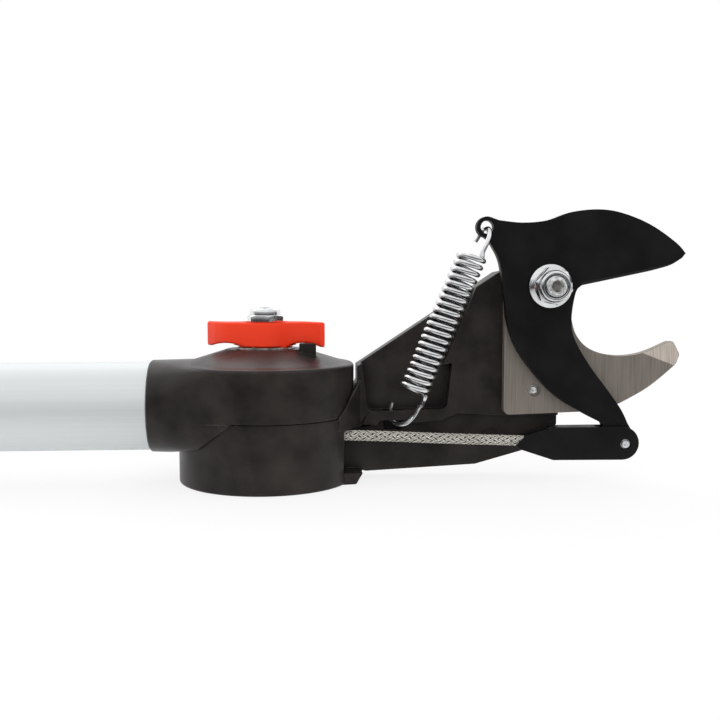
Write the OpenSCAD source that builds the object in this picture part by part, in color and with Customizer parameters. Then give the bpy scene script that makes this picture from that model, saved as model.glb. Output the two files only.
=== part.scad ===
// Head of a pole tree pruner: a bypass cutter on an arm that swivels on a clamped
// drum at the top of an aluminium pole. A cord in the pole pulls the cutter shut.
// +X runs along the pole towards the cutter, +Z is up along the swivel axis, and the
// origin is the middle of the drum's flat base.

/* [Pole] */
// Outer diameter of the pole tube
pole_d = 35; // [30:0.5:38]
// Wall of the pole tube
pole_wall = 1.5; // [1:0.1:2.5]
// Length of tube that shows outside its socket
pole_len = 260; // [240:1:400]
// Height of the pole's axis above the drum's base
pole_z = 29.8; // [26:0.1:32]

/* [Swivel drum] */
// Diameter of the drum
drum_d = 69; // [64:0.5:76]
// Height of the lower cup, up to the seam
cup_h = 26.5; // [25.5:0.1:28]
// Height of the cap's side wall above the seam
cap_h = 20.3; // [18:0.1:24]
// Rise of the dome above the cap's side wall
dome_rise = 5.4; // [3:0.1:8]
// Wall of the cup and the cap
drum_wall = 3.2; // [2.4:0.1:4.5]
// Floor of the cup
cup_floor = 4; // [3:0.1:5]
// Length of the socket sleeve in front of the drum
socket_len = 10.5; // [9:0.5:20]

/* [Clamp lever] */
// Span of the lever over its two wings
lever_span = 47; // [40:0.5:52]
// Height of the lever's wings
lever_h = 9.7; // [8:0.1:12]
// Diameter of the lever's hub
hub_d = 19.4; // [18.4:0.1:22]

/* [Arm] */
// Thickness of the arm, from its face to its back
arm_t = 13.8; // [12:0.1:18]
// Distance of the blade pivot ahead of the swivel axis
pivot_x = 111; // [106:0.5:118]
// Height of the blade pivot above the base
pivot_z = 77.3; // [74:0.1:82]
// Depth of the spring pocket in the arm's face
pocket_depth = 5.3; // [3:0.1:6]

/* [Cutter] */
// Thickness of the moving blade
blade_t = 4; // [3:0.1:5]
// Thickness of the hook plate
hook_t = 4; // [3:0.1:5]
// Reach of the blade's beak ahead of the pivot
beak_reach = 53.8; // [46:0.1:58]
// Length of the blade's tail, from the pivot down to the link pin
tail_drop = 62.3; // [60:0.1:64]
// How far the link pin lies ahead of the pivot
tail_lead = 31; // [29:0.1:33]
// Diameter of the spring eye's hole
eye_d = 5; // [4.6:0.1:5.4]

/* [Pull link] */
// Length of the link behind its pin
link_len = 44; // [42:0.5:46]
// Height of the link
link_h = 13; // [11:0.1:14]
// Sheet that the link is folded from
link_t = 1.5; // [1:0.1:1.6]
// Diameter of the link pin
link_pin_d = 4; // [3:0.1:5]

/* [Return spring] */
// Outer diameter of the spring's coils
coil_d = 11.8; // [10:0.1:13]
// Diameter of the spring wire
wire_d = 1.9; // [1.4:0.1:2]
// Number of coils
coil_count = 20; // [16:1:21]

/* [Pull cord] */
// Diameter of the braided cord
cord_d = 4.3; // [3.4:0.1:4.4]

/* [Fasteners] */
// Diameter of the swivel bolt and the pivot bolt
bolt_d = 8; // [7:0.1:8.4]
// Width of their heads and nuts across the flats
nut_af = 13; // [12:0.5:14]
// Diameter of the pivot nut's flange
flange_d = 17.2; // [16:0.1:19]
// Thickness of the washers
washer_t = 1.5; // [1:0.1:2]
// Diameter of the hook plate's rivet
rivet_d = 4; // [3:0.1:5]

/* [Clearances] */
// Gap between pieces that slide on or pass each other
slide_gap = 0.2; // [0.1:0.05:0.4]
// Radial gap of a pin or shaft in the bore that turns on it
run_gap = 0.05; // [0.02:0.01:0.1]
// Gap between the drum and what swings round it
swing_gap = 0.5; // [0.3:0.05:0.8]

/* [Hidden] */
$fn = 96;

// Colours
black_plastic = [0.10, 0.095, 0.09];
black_coat = [0.05, 0.05, 0.05];
zinc = [0.78, 0.79, 0.80];
steel = [0.60, 0.57, 0.54];
orange = [0.88, 0.22, 0.10];
tube_silver = [0.80, 0.82, 0.84];
braid_grey = [0.55, 0.53, 0.50];
nylon = [0.85, 0.84, 0.80];

// Drum
drum_r = drum_d/2;
cap_r = drum_r + 0.7;
bolt_r = bolt_d/2;
cap_z0 = cup_h + slide_gap;
cap_z1 = cap_z0 + cap_h;
dome_top = cap_z1 + dome_rise;
dome_flat_r = hub_d/2 + 5.6;
edge_r = 1.6;
cup_edge_r = 0.9;
washer_sunk = 0.7;
boss_r = bolt_r + 5;
head_h = 5.3;
head_recess_r = nut_af/sqrt(3) + 1.2;
head_top = head_h;
recess_top = head_top + washer_t + slide_gap/2;
roof_t = drum_wall;

// Pole and its socket
pole_r = pole_d/2;
pole_bore_r = pole_r - pole_wall;
sleeve_wall = 0.7;
sleeve_r = pole_r + sleeve_wall;
seat_neck = 0.5;
seat_relief = 0.2;
socket_x = -drum_r - socket_len;
seat_x = -drum_r - 2.5;
pole_end = socket_x - pole_len;
spigot_len = 40;
spigot_bore_r = cord_d/2 + 5.2;
spigot_gap = 0.1;
lip_r = drum_r + 0.15;
skirt_z = pole_z - sleeve_r + 4.4;
skirt_x = -11.5;
skirt_run = 13.6;
skirt_fall = 0.26;
skirt_bend = 4;
fairing_dip = 0.25;
screw_r = 1.5;
screw_head_r = 2.8;
screw_angles = [30, -30];

// Clamp lever and what lies above the cap
washer_r = nut_af/2 + 1.8;
lever_washer_r = hub_d/2 + 1.6;
lever_washer_z = dome_top - washer_sunk;
lever_z0 = lever_washer_z + washer_t + slide_gap;
lever_z1 = lever_z0 + lever_h;
hub_recess = 3.8;
nut_washer_z = lever_z1 - hub_recess + slide_gap;
nut_z = nut_washer_z + washer_t;
nut_hex_h = 4.9;
nut_collar_h = 2.5;
nut_top = nut_z + nut_hex_h + nut_collar_h;
collar_r = nut_af/2 - 0.9;
wing_arch = 1.4;
wing_reach = 0.43*hub_d;
arch_x = lever_span/2 - 8.5;
arch_r = 16;
lug_w = 6.6;
lug_deep = 3;
lug_rise = 1.7;
lug_x = hub_d/2 + 3.7;
lug_y = -wing_reach - slide_gap - lug_deep;

// Layers of the cutter, from the arm's face towards the front
face_y = -6.8;
rim_proud = 0.4;
rim_to = 42.6;
rim_ramp = 16;
hook_y1 = face_y;
hook_y0 = hook_y1 - hook_t;
blade_y1 = hook_y0 - slide_gap;
blade_y0 = blade_y1 - blade_t;
cut_y = (blade_y0 + blade_y1)/2;
back_y = face_y + arm_t;
web_y = face_y + 2.3;
pocket_y = face_y + pocket_depth;
arm_skin = 2.4;
pivot_boss_h = 2;
pivot_back = back_y + pivot_boss_h;

// Blade pivot, spring eye, link pin and hook rivet, all in the XZ plane
pivot = [pivot_x, pivot_z];
eye = pivot + [-25, 22.7];
eye_wall = 1.6;
pin = pivot + [tail_lead, -tail_drop];
rivet_at = pivot + [-4.7, -41.2];
rivet_ring = 0.8;
heel_back = 16.8;
heel_drop = 51;
pivot_boss_r = 9.5;
edge_bevel = 1;

pivot_nut_y = blade_y0 - slide_gap;
flange_h = 1.8;
thread_proud = 3.6;
thread_end_y = pivot_nut_y - nut_hex_h - nut_collar_h - thread_proud;

// Arm: its foot on the cup, its slope, and the cord's channel along its lower edge
arm_foot_x = drum_r - 2;
arm_tip_x = pivot_x + 6.4;
slope_foot = [drum_r + 1.8, cap_z1 - 1.2];
slope_top = pivot + [-18.5, 5.5];
channel_top = 21.8;
foot_h = cup_floor + 0.5;
foot_reach = 3.6;
foot_slope = 2.6;
foot_half = 15;
collar_half = 22;
hook_slot_x = 12.4;
hook_slot_w = 7.6;

// Link and cord
link_play = 0.25;
link_y0 = blade_y0 - link_play - link_t;
link_y1 = blade_y1 + link_play + link_t;
link_end_r = link_h/2 - 1.2;
link_tail_h = 5.6;
link_axis_rise = 1.2;
cord_r = cord_d/2;
cord_way = cut_y - cord_r - 1;
cord_sides = 10;
cord_pin_r = 1.4;
cord_pin_at = pin + [-(link_len - 12), 1];
sheave_z = 19.5;
sheave_h = 7;
sheave_pitch_r = -cut_y;
sheave_rim_r = sheave_pitch_r + 1.5;
sheave_root_r = sheave_pitch_r - cord_r - slide_gap;
groove_half = cord_r + 0.45;
bush_r = bolt_r + 2;
bush_z0 = sheave_z - sheave_h/2 - 0.4;
bush_z1 = cap_z0 - 1.2;
roller_r = 4.3;
roller_pin_r = 2;
roller_at = [14, cut_y - cord_r - slide_gap - 0.1 - roller_r];
roller_z0 = sheave_z - 4.2;
roller_z1 = sheave_z + 4.2;

// Route of the cord's front run, from the sheave to its pin in the link
cord_front = [[0, cut_y, sheave_z], [16, cut_y, sheave_z], [31, cut_y, 19.2], [48, cut_y, 18.6],
              [64, cut_y, 17.8], [80, cut_y, 17.1], [93, cut_y, 16.6], [104, cut_y, 16.2],
              [cord_pin_at[0] + 4, cut_y, cord_pin_at[1]]];
// Route of the cord's run in the pole, from the sheave to its terminal
cord_back = [[-0.2, cut_y, sheave_z], [-8, cut_y, sheave_z + 0.1], [-14, -11.6, 21.8], [-20, -9.2, 24.8],
             [-26, -6.4, 28], [-32, -3.8, 30.2], [-38, -2.2, 30.6], [-46, -1, 30],
             [-56, 0, 29.2], [-68, 0, pole_z], [-90, 0, pole_z], [-120, 0, pole_z],
             [-150, 0, pole_z], [-178, 0, pole_z]];
terminal_r = cord_r + 1;
terminal_len = 16;
terminal_hole_r = 1.6;

// Spring: its coils' axis, and the hand-set points of its two hooks
coil_foot = [56.9, -21.5, 37.1];
coil_head = [78.9, -21.5, 88.7];
coil_mid_r = (coil_d - wire_d)/2;
rings_per_coil = 8;
wire_sides = 6;
foot_hook = [[50.4, -2.9, 30.6], [50, -2.9, 27], [50.6, -3.2, 23.6], [52.6, -5.2, 22.2],
             [55.6, -7.9, 22.6], [58.4, -9, 25.4], [60, -11.4, 28.6], [61.4, -15.4, 32]];
head_hook = [[82.4, -20, 90.2], [84.8, -18.8, 93], [86.3, -17.2, 96.4], [86.6, -15.2, 99],
             [86, -13, 99.5], [85.4, -10.8, 99.3], [84.2, -9.2, 97.4], [82.4, -9, 94.6]];

// Points of a curve through the given points, with steps parts between each two
function curve(p, steps = 6) = let (n = len(p)) concat([for (i = [0:n-2]) let (
        a = p[max(i-1, 0)], b = p[i], c = p[i+1], d = p[min(i+2, n-1)]) each [
        for (k = [0:steps-1]) let (t = k/steps)
            b + 0.5*t*((c - a) + t*((2*a - 5*b + 4*c - d) + t*(3*b - a - 3*c + d)))]],
    [p[n-1]]);

// Points of an arc about centre c
function arc(c, r, a0, a1, n = 12) = [for (i = [0:n]) let (a = a0 + (a1 - a0)*i/n)
    c + r*[cos(a), sin(a)]];

// The polygon's points with every corner rounded to radius r
function rounded(p, r, n = 5) = let (m = len(p)) [for (i = [0:m-1]) let (
        b = p[i], u = unit(p[(i+m-1)%m] - b), v = unit(p[(i+1)%m] - b),
        half = acos(u*v)/2, back = r/tan(half), mid = b + unit(u + v)*r/sin(half))
    each [for (k = [0:n]) let (w = unit(u + (v - u)*k/n), s = b + back*(u + (v - u)*k/n) - mid)
        mid + unit(s)*r]];

function unit(v) = v/norm(v);
function flat(p, a) = p - a*(p*a);

// Cross directions along a path, each the last one turned with it
function sides_along(p, i = 0, last = undef) = i >= len(p) ? [] : let (
        t = unit(p[min(i+1, len(p)-1)] - p[max(i-1, 0)]),
        start = abs(t[2]) < 0.9 ? [0, 0, 1] : [1, 0, 0],
        u = unit(flat(is_undef(last) ? start : last, t)))
    concat([[u, cross(t, u)]], sides_along(p, i+1, u));

// One closed tube of radius r along a path
module tube_along(p, r, sides) {
    frames = sides_along(p);
    n = len(p);
    points = concat([for (i = [0:n-1]) for (k = [0:sides-1])
        p[i] + r*(cos(360*k/sides)*frames[i][0] + sin(360*k/sides)*frames[i][1])],
        [p[0], p[n-1]]);
    walls = [for (i = [0:n-2]) for (k = [0:sides-1]) let (
            a = i*sides + k, b = i*sides + (k+1)%sides, c = a + sides, d = b + sides)
        each [[a, c, b], [b, c, d]]];
    ends = [for (k = [0:sides-1]) let (j = (k+1)%sides, e = (n-1)*sides)
        each [[n*sides, k, j], [n*sides+1, e + j, e + k]]];
    polyhedron(points, concat(walls, ends));
}

// A plate in the XZ plane, from y0 back to y1
module plate(y0, y1) {
    translate([0, y1, 0]) rotate([90, 0, 0]) linear_extrude(y1 - y0) children();
}

// A cylinder along Y at a point of the XZ plane
module pin_y(at, r, y0, y1) {
    translate([at[0], y1, at[1]]) rotate([90, 0, 0]) cylinder(r = r, h = y1 - y0);
}

// A hexagon along Z, measured across its flats
module hex(af, h) {
    cylinder(r = af/sqrt(3), h = h, $fn = 6);
}

// A washer on the Z axis
module washer(r, hole_r, h) {
    difference() {
        cylinder(r = r, h = h);
        translate([0, 0, -1]) cylinder(r = hole_r, h = h + 2);
    }
}

// A cylinder along X about the pole's axis
module along_pole(r, x0, x1) {
    translate([x0, 0, pole_z]) rotate([0, 90, 0]) cylinder(r = r, h = x1 - x0);
}

module pole_tube() {
    color(tube_silver) difference() {
        union() {
            along_pole(pole_r, pole_end, socket_x - seat_relief);
            along_pole(pole_r - seat_neck, pole_end + 1, seat_x);
        }
        along_pole(pole_bore_r, pole_end - 1, seat_x + 1);
        for (a = screw_angles) socket_screw_at(a) screw_shape(spigot_gap);
    }
}

// Outside of the cap: domed drum with its side wall
module cap_drum() {
    rotate_extrude() polygon(concat(
        [[0, cap_z0], [cap_r, cap_z0]],
        arc([cap_r - edge_r, cap_z1 - edge_r], edge_r, 0, 60, 4),
        curve([[drum_r - 3, cap_z1 + 0.05*dome_rise], [drum_r - 9, cap_z1 + 0.4*dome_rise],
               [drum_r - 14.5, cap_z1 + 0.72*dome_rise], [dome_flat_r, dome_top]], 4),
        [[0, dome_top]]));
}

// The socket's fairing, swept from the round sleeve into the drum's side
module cap_fairing() {
    hull() {
        along_pole(sleeve_r, socket_x, socket_x + 3);
        translate([0, 0, skirt_z]) cylinder(r = cap_r - fairing_dip, h = cap_z1 - edge_r/2 - skirt_z);
    }
}

// Room under the fairing: the cup turns in it, and its lower edge sweeps up to the seam
module under_fairing() {
    foot = [skirt_x - skirt_run, skirt_z + slide_gap];
    translate([0, 0, -1]) cylinder(r = lip_r, h = cap_z0 + 1);
    plate(-drum_d, drum_d) polygon(rounded([[-drum_d, -drum_d], foot - drum_d*[1, skirt_fall], foot,
        [skirt_x, cap_z0], [drum_d, cap_z0], [drum_d, -drum_d]], skirt_bend));
}

// The lug that stops the lever's right wing, in the hollow of its front
module stop_lug() {
    translate([lug_x, lug_y, cap_z1]) cube([lug_w, lug_deep, lever_z0 + lug_rise - cap_z1]);
}

module swivel_cap() {
    color(black_plastic) {
        difference() {
            union() {
                cap_drum();
                cap_fairing();
                stop_lug();
            }
            translate([0, 0, lever_washer_z]) cylinder(r = lever_washer_r + 0.5, h = dome_rise);
            under_fairing();
            difference() {
                translate([0, 0, cap_z0 - 1])
                    cylinder(r = drum_r - drum_wall, h = cap_h - roof_t + 1);
                cylinder(r = boss_r, h = dome_top);
            }
            cylinder(r = bolt_r + run_gap, h = dome_top + 1);
            along_pole(pole_r - seat_neck + spigot_gap, socket_x - 1, seat_x);
            along_pole(spigot_bore_r, socket_x - 1, -drum_r + drum_wall + 2);
            for (a = screw_angles) socket_screw_at(a) screw_shape(spigot_gap);
        }
        difference() {
            along_pole(pole_bore_r - spigot_gap, seat_x - spigot_len, seat_x + 0.01);
            along_pole(spigot_bore_r, seat_x - spigot_len - 1, seat_x + 1);
            for (a = screw_angles) socket_screw_at(a) screw_shape(spigot_gap);
        }
    }
}

// Places a screw through the sleeve's back, at an angle above the level
module socket_screw_at(angle) {
    translate([(socket_x + seat_x)/2, 0, pole_z]) rotate([angle, 0, 0]) rotate([-90, 0, 0])
        children();
}

// A screw along Z: its shank from the spigot out to a head sunk in the sleeve
module screw_shape(grow = 0) {
    translate([0, 0, spigot_bore_r + 2]) cylinder(r = screw_r + grow, h = sleeve_r - spigot_bore_r - 2);
    translate([0, 0, sleeve_r - 0.6]) cylinder(r = screw_head_r + grow, h = 3);
}

module socket_screws() {
    color(zinc) for (a = screw_angles) socket_screw_at(a) intersection() {
        screw_shape();
        cylinder(r = sleeve_r, h = sleeve_r + 0.4);
    }
}

module swivel_bolt() {
    color(zinc) {
        hex(nut_af, head_h);
        translate([0, 0, head_top - 0.01]) cylinder(r = bolt_r, h = nut_top + 0.3 - head_top);
    }
}

module swivel_bolt_washer() {
    color(zinc) translate([0, 0, head_top])
        washer(head_recess_r - 0.4, bolt_r + run_gap, washer_t);
}

// A lock nut along Z: hexagon below, round collar above
module lock_nut() {
    difference() {
        union() {
            hex(nut_af, nut_hex_h);
            rotate_extrude() polygon([[0, 0], [collar_r, 0], [collar_r, nut_hex_h + nut_collar_h - 1],
                [collar_r - 1, nut_hex_h + nut_collar_h], [0, nut_hex_h + nut_collar_h]]);
        }
        translate([0, 0, -1]) cylinder(r = bolt_r + run_gap, h = nut_hex_h + nut_collar_h + 2);
    }
}

module swivel_nut() {
    color(zinc) translate([0, 0, nut_z]) rotate(35) lock_nut();
}

module swivel_nut_washer() {
    color(zinc) translate([0, 0, nut_washer_z]) washer(washer_r, bolt_r + run_gap, washer_t);
}

module lever_washer() {
    color(steel) translate([0, 0, lever_washer_z]) washer(lever_washer_r, bolt_r + run_gap, washer_t);
}

// One wing in plan: hollow at its front, full at its back, and round at its tip
module wing_plan() {
    hub_r = hub_d/2;
    tip = lever_span/2;
    polygon(concat([[0, 0]],
        curve([[0.55*hub_r, -0.83*hub_r], [1.05*hub_r, -0.52*hub_r], [0.7*tip, -0.5*hub_r],
               [tip - 1.2, -wing_reach]], 5),
        arc([tip - 1.6, -0.7*hub_r], 1.6, -60, 30, 5),
        curve([[0.86*tip, -0.12*hub_r], [0.66*tip, 0.36*hub_r], [hub_r, 0.66*hub_r],
               [0.4*hub_r, 0.91*hub_r]], 5)));
}

module clamp_lever() {
    color(orange) difference() {
        union() {
            translate([0, 0, lever_z0]) cylinder(r = hub_d/2, h = lever_h);
            for (turn = [0, 180]) rotate(turn) translate([0, 0, lever_z0])
                linear_extrude(lever_h) wing_plan();
        }
        // Arch under each wing
        difference() {
            for (side = [-1, 1]) pin_y([side*arch_x, lever_z0 + wing_arch - arch_r], arch_r, -hub_d, hub_d);
            cylinder(r = hub_d/2, h = lever_z1);
        }
        translate([0, 0, lever_z1 - hub_recess]) cylinder(r = washer_r + 0.3, h = hub_recess + 1);
        translate([0, 0, lever_z0 - 1]) cylinder(r = bolt_r + run_gap, h = lever_h + 2);
    }
}

module sheave_bush() {
    color(steel) translate([0, 0, bush_z0]) washer(bush_r, bolt_r + run_gap, bush_z1 - bush_z0);
}

module cord_sheave() {
    half = sheave_h/2;
    color(nylon) translate([0, 0, sheave_z]) rotate_extrude() polygon(concat(
        [[bush_r + run_gap, -half], [sheave_rim_r, -half], [sheave_rim_r, -groove_half]],
        arc([sheave_root_r + groove_half, 0], groove_half, 270, 90, 12),
        [[sheave_rim_r, groove_half], [sheave_rim_r, half], [bush_r + run_gap, half]]));
}

// Outline of the arm, seen from the front
function arm_outline() = concat(
    [[arm_foot_x, 3.4], [drum_r + 2.4, 3.9], [drum_r + 5.4, 3.1], [drum_r + 49.7, 5.4],
     [arm_tip_x - 14.8, 10.5], [arm_tip_x - 6.6, 13.7], [arm_tip_x, 21.4]],
    [[arm_tip_x, pivot_z - 11]], arc(pivot, pivot_boss_r, -35, 118, 12),
    [slope_top, slope_foot, slope_foot - [0, 10], [arm_foot_x, slope_foot[1] - 13]]);

// Spring pocket, open towards the arm's slope
function pocket_outline() = concat(
    [[drum_r + 3, slope_foot[1] + 6]],
    arc([drum_r + 8.5, 30.5], 2.8, 180, 270, 5), arc([drum_r + 35, 31], 2.8, 270, 360, 5),
    [[drum_r + 39.6, 46.7], [drum_r + 36, 46], slope_top + [-7, -1], slope_top + [-7, 8]]);

// Cord channel below the pocket's lower bar, with the notch for the spring's hook
function channel_outline() = [[drum_r + foot_reach + 0.2, -2], [drum_r + foot_reach + 0.2, foot_h],
    [drum_r - 4, foot_h], [drum_r - 4, channel_top], [drum_r + 9.6, channel_top],
    [drum_r + 11, 23.9], [drum_r + 21.4, 23.9], [drum_r + 23.6, 22.8], [drum_r + 36, 23.8],
    [drum_r + 42, 26.6], [drum_r + 62, 25.4], [arm_tip_x + 1, 25.4], [arm_tip_x + 1, -2]];

// Weight-saving pockets in the arm's back, with ribs between them
function back_pockets() = [
    [[drum_r + 8, 26], [drum_r + 8, 44], [drum_r + 27, 56.4], [drum_r + 27, 26]],
    [[drum_r + 30, 26], [drum_r + 30, 58.4], [drum_r + 47, 69.5], [drum_r + 47, 26]],
    [[drum_r + 50, 26], [drum_r + 50, 71.5], [drum_r + 57, 74], [drum_r + 66, 62], [drum_r + 66, 26]],
    [[drum_r + 8, 8], [drum_r + 8, 22.5], [drum_r + 70, 22.5], [drum_r + 48, 9]]];

// The lower cup's outside, round with a flat floor
module cup_outside() {
    rotate_extrude() polygon(concat([[0, 0]],
        arc([drum_r - cup_edge_r, cup_edge_r], cup_edge_r, -90, 0, 5),
        [[drum_r, cup_h], [0, cup_h]]));
}

// Room in the cup, round the bolt's boss and the roller's post
module cup_room() {
    difference() {
        translate([0, 0, cup_floor]) cylinder(r = drum_r - drum_wall, h = cup_h);
        cylinder(r = boss_r, h = bush_z0 - slide_gap);
        translate([roller_at[0], roller_at[1], 0])
            cylinder(r = roller_r - 0.4, h = roller_z0 - slide_gap);
    }
}

// The collar that carries the arm round the drum, wide at the seam and narrow above
module collar() {
    front = face_y - rim_proud + 0.1;
    deep = back_y - 0.1 - front;
    low = channel_top + 0.1;
    hull() {
        translate([drum_r - 8, -collar_half, low]) cube([1.6, 2*collar_half, cup_h + 0.8 - low]);
        translate([drum_r - 4, -collar_half + 4, low]) cube([1.2, 2*collar_half - 8, cup_h + 3.4 - low]);
        translate([drum_r - 1, front, low]) cube([1, deep, 14]);
        translate([drum_r + 2.6, front, low]) cube([0.5, deep, 18]);
    }
}

// The foot under the arm, a step on the cup's base with round corners and a sloped end
module arm_foot() {
    reach = drum_r + foot_reach;
    intersection() {
        linear_extrude(foot_h) polygon(rounded([[drum_r - 10, -foot_half], [reach, -foot_half],
            [reach, foot_half], [drum_r - 10, foot_half]], 3));
        plate(-foot_half, foot_half) polygon([[0, 0], [reach - foot_slope, 0], [reach, foot_h], [0, foot_h]]);
    }
}

// The proud rim round the spring pocket, ramped down to the face on its right
module pocket_rim() {
    difference() {
        plate(face_y - rim_proud, face_y + 1) intersection() {
            polygon(arm_outline());
            translate([drum_r - 4, 0]) square([rim_to + 4, 100]);
        }
        translate([drum_r + rim_to, face_y, 0]) rotate(rim_ramp) translate([-20, -10, 0])
            cube([40, 10, 100]);
    }
}

module head_frame() {
    color(black_plastic) difference() {
        union() {
            cup_outside();
            arm_foot();
            plate(face_y, back_y) polygon(arm_outline());
            pocket_rim();
            collar();
            pin_y(pivot, pivot_boss_r - 0.1, back_y - 1, pivot_back);
        }
        translate([0, 0, cup_h]) cylinder(r = cap_r + swing_gap, h = 60);
        cup_room();
        plate(-40, web_y) polygon(channel_outline());
        translate([drum_r - 8, cord_way, foot_h]) cube([8, web_y - cord_way, channel_top - foot_h]);
        plate(-40, pocket_y) polygon(pocket_outline());
        // Slot behind the bar for the end of the spring's hook
        translate([drum_r + hook_slot_x, face_y + 2, 20]) cube([hook_slot_w, pocket_depth - 2.1, 12]);
        for (p = back_pockets()) plate(pocket_y + arm_skin, back_y + 1) polygon(rounded(p, 1.5));
        // Bolt, rivet and roller pin
        translate([0, 0, -1]) cylinder(r = head_recess_r, h = recess_top + 1);
        cylinder(r = bolt_r + run_gap, h = cup_h);
        translate([roller_at[0], roller_at[1], cup_floor/2]) cylinder(r = roller_pin_r, h = cup_h);
        pin_y(pivot, bolt_r + run_gap, face_y - 1, pivot_back + 1);
        pin_y(rivet_at, rivet_d/2, face_y - 1, back_y + 1);
    }
}

module guide_pin() {
    color(zinc) translate([roller_at[0], roller_at[1], cup_floor/2])
        cylinder(r = roller_pin_r, h = roller_z1 + 0.8 - cup_floor/2);
}

module guide_roller() {
    color(nylon) translate([roller_at[0], roller_at[1], roller_z0])
        washer(roller_r, roller_pin_r + run_gap, roller_z1 - roller_z0);
}

// Outline of the hook plate: its heel, the hook, and a round end behind the bolt
module hook_plan() {
    heel = pivot - [heel_back, heel_drop];
    reach = beak_reach;
    polygon(concat(
        arc(heel + [2.4, 2.4], 2.4, 180, 270, 5),
        [pivot + [13.7, -50.1]],
        curve([pivot + [30, -46.9], pivot + [reach - 12.5, -40.6], pivot + [reach - 2.3, -32.3],
               pivot + [reach - 0.4, -29.9]], 5),
        arc(pivot + [reach - 1.6, -27.4], 2.1, -40, 20, 4),
        arc(pivot + [reach - 2.8, -23.6], 1.5, 30, 110, 4),
        curve([pivot + [reach - 4.2, -22.1], pivot + [reach - 15.6, -26.7], pivot + [27.4, -27.6],
               pivot + [17.5, -24.9], pivot + [11.8, -19], pivot + [9.6, -11]], 6),
        arc(pivot, pivot_boss_r + 1.5, -20, 118, 12),
        [pivot + [-heel_back, 3]]));
}

module hook_plate() {
    bevel_from = pivot + [beak_reach - 15, -26.6];
    bevel_to = pivot + [beak_reach - 2.3, -31.5];
    bevel_dir = atan2(bevel_to[1] - bevel_from[1], bevel_to[0] - bevel_from[0]);
    color(steel) difference() {
        plate(hook_y0, hook_y1) hook_plan();
        pin_y(pivot, bolt_r + run_gap, hook_y0 - 1, hook_y1 + 1);
        pin_y(rivet_at, rivet_d/2, hook_y0 - 1, hook_y1 + 1);
        pin_y(rivet_at, rivet_d/2 + rivet_ring, hook_y0 - 1, hook_y0 + 1);
        // Ground flat on the hook's tip
        translate([bevel_from[0], hook_y0, bevel_from[1]]) rotate([0, -bevel_dir, 0])
            rotate([-8, 0, 0]) translate([-20, -10, 0]) cube([60, 10, 30]);
    }
}

module hook_rivet() {
    color(zinc) pin_y(rivet_at, rivet_d/2, hook_y0, back_y);
}

module pivot_bolt() {
    color(zinc) {
        translate([pivot[0], pivot_back + washer_t + head_h, pivot[1]]) rotate([90, 0, 0])
            hex(nut_af, head_h);
        pin_y(pivot, bolt_r, thread_end_y, pivot_back + washer_t + 0.01);
    }
}

module pivot_bolt_washer() {
    color(zinc) translate([pivot[0], pivot_back + washer_t, pivot[1]]) rotate([90, 0, 0])
        washer(washer_r + 1, bolt_r + run_gap, washer_t);
}

module pivot_nut() {
    color(zinc) translate([pivot[0], pivot_nut_y, pivot[1]]) rotate([90, 0, 0]) {
        rotate_extrude() polygon([[bolt_r + run_gap, 0], [flange_d/2 - 0.3, 0], [flange_d/2, 0.4],
            [flange_d/2, 0.9], [nut_af/2, flange_h + 0.6], [bolt_r + run_gap, flange_h + 0.6]]);
        translate([0, 0, flange_h]) rotate(15) lock_nut();
    }
}

// Outline of the moving blade: eye, back of the beak, cutting edge, throat and tail
module blade_plan() {
    eye_r = eye_d/2 + eye_wall;
    tip = pivot + [beak_reach, 12.8];
    tail_r = link_end_r;
    polygon(concat(
        arc(eye, eye_r, 240, 75, 14),
        curve([eye + [4.6, 2.7], pivot + [-11.3, 24.5], pivot + [-1.5, 25.4], pivot + [8, 28.6],
               pivot + [18.5, 29.7], pivot + [28, 28.4], tip + [-14.3, 11.1], tip + [-4, 4.2], tip], 5),
        curve([tip + [-1.4, -1.8], tip + [-6.5, -4.8], pivot + [39, 5.7]], 4),
        curve([pivot + [13.3, 0.5], pivot + [10.9, -1.2], pivot + [9.6, -5.5], pivot + [8.8, -13],
               pivot + [9.9, -20], pivot + [15.6, -30.1], pivot + [24, -41.2], pin + [-1.6, 13.6],
               pin + [1.2, 8]], 5),
        arc(pin, tail_r, 45, -180, 14),
        curve([pin + [-9.4, 8.4], pin + [-12, 9.6], pin + [-18.6, 13.1], pivot + [2.7, -43],
               pivot + [-6, -33.9], pivot + [-13.1, -23.9], pivot + [-16.6, -13.9],
               pivot + [-17.7, -5.4], pivot + [-19, 3.9], pivot + [-20.5, 10.6], pivot + [-23.7, 16.4],
               eye + [-1, -4]], 5)));
}

module cutting_blade() {
    edge_from = pivot + [13.3, 0.5];
    edge_slope = atan2(5.2, 25.7);
    color(black_coat) difference() {
        plate(blade_y0, blade_y1) blade_plan();
        pin_y(pivot, bolt_r + run_gap, blade_y0 - 1, blade_y1 + 1);
        pin_y(pin, link_pin_d/2 + run_gap, blade_y0 - 1, blade_y1 + 1);
        pin_y(eye, eye_d/2, blade_y0 - 1, blade_y1 + 1);
        // Ground bevel along the straight of the cutting edge
        translate([edge_from[0], blade_y0 + edge_bevel, edge_from[1]]) rotate([0, -edge_slope, 0])
            rotate([-45, 0, 0]) translate([-1, -12, -12]) cube([36, 12, 12]);
    }
}

// Side of the link: round at the pin, tapered to its tail
module link_plan() {
    back = pin[0] - link_len;
    top = pin[1] + link_h/2 + 0.4;
    low = top - link_h;
    tail_z = pin[1] + link_axis_rise;
    polygon(concat(
        arc([pin[0] - 1.2, pin[1] + 0.3], link_h/2 + 0.1, -90, 90, 14),
        [[back + 16, top], [back + 12, top - 0.8]],
        arc([back + 4.4, tail_z + link_tail_h/2 - 1.2], 1.2, 110, 180, 4),
        [[back, tail_z - link_tail_h/2 + 1.4]], [[back + 1.6, tail_z - link_tail_h/2]],
        [[back + 15, low]]));
}

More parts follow.
